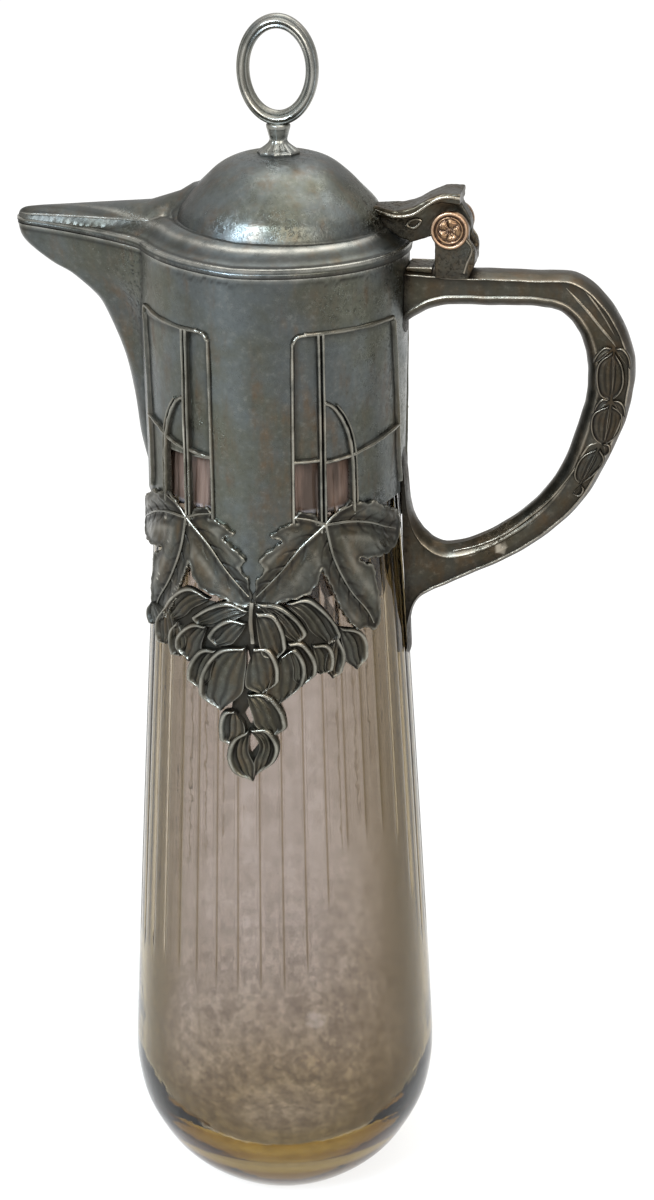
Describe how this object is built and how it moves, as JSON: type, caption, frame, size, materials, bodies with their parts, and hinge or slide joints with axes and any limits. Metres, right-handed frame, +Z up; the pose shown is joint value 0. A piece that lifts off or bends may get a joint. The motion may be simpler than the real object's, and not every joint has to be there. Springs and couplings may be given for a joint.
{
  "type": "lidded claret jug",
  "caption": "Tall clear-glass claret jug in a dark pewter mount with vine ornament, beak spout, ridged handle, hinged domed lid and oval ring finial.",
  "frame": {"origin": "centre of the flat glass foot, on the surface it stands on", "axes": "+Z up the jug's axis, -X towards the spout, +X towards the handle and hinge, hinge pin along Y"},
  "size_m": [0.1856, 0.1, 0.3811],
  "materials": {
    "glass": "clear blown glass, warm tint, thin cut lines",
    "plaster": "matt cement",
    "pewter": "dark satin pewter, tarnished, worn bright edges",
    "pewter_relief": "dark pewter casting, dark hollows and bright crests",
    "pewter_handle": "brown tarnished pewter",
    "brass": "worn copper-coloured screw heads",
    "steel": "plain steel"
  },
  "bodies": {
    "jug": {"glass_body": "glass", "plaster_bed": "plaster", "collar_sleeve": "pewter", "spout": "pewter", "tracery_front": "pewter_relief", "tracery_back": "pewter_relief", "leaf_front_left": "pewter_relief", "leaf_front_right": "pewter_relief", "leaf_back_left": "pewter_relief", "leaf_back_right": "pewter_relief", "grapes_front": "pewter_relief", "grapes_back": "pewter_relief", "handle": "pewter_handle", "root_plate": "pewter_handle", "hinge_post": "pewter_handle", "hinge_pin": "brass", "rosette_front": "brass", "rosette_back": "brass"},
    "lid": {"lid_shell": "pewter", "lid_bezel": "pewter", "lid_arm": "pewter_handle", "finial_foot": "pewter", "finial_ring": "pewter", "finial_stud": "steel", "finial_nut": "steel"}
  },
  "joints": [
    {"name": "lid_hinge", "type": "hinge", "parent": "jug", "child": "lid", "pos_m": [0.0532, 0, 0.3215], "axis": [0, 1, 0], "range_deg": [0, 100]}
  ]
}
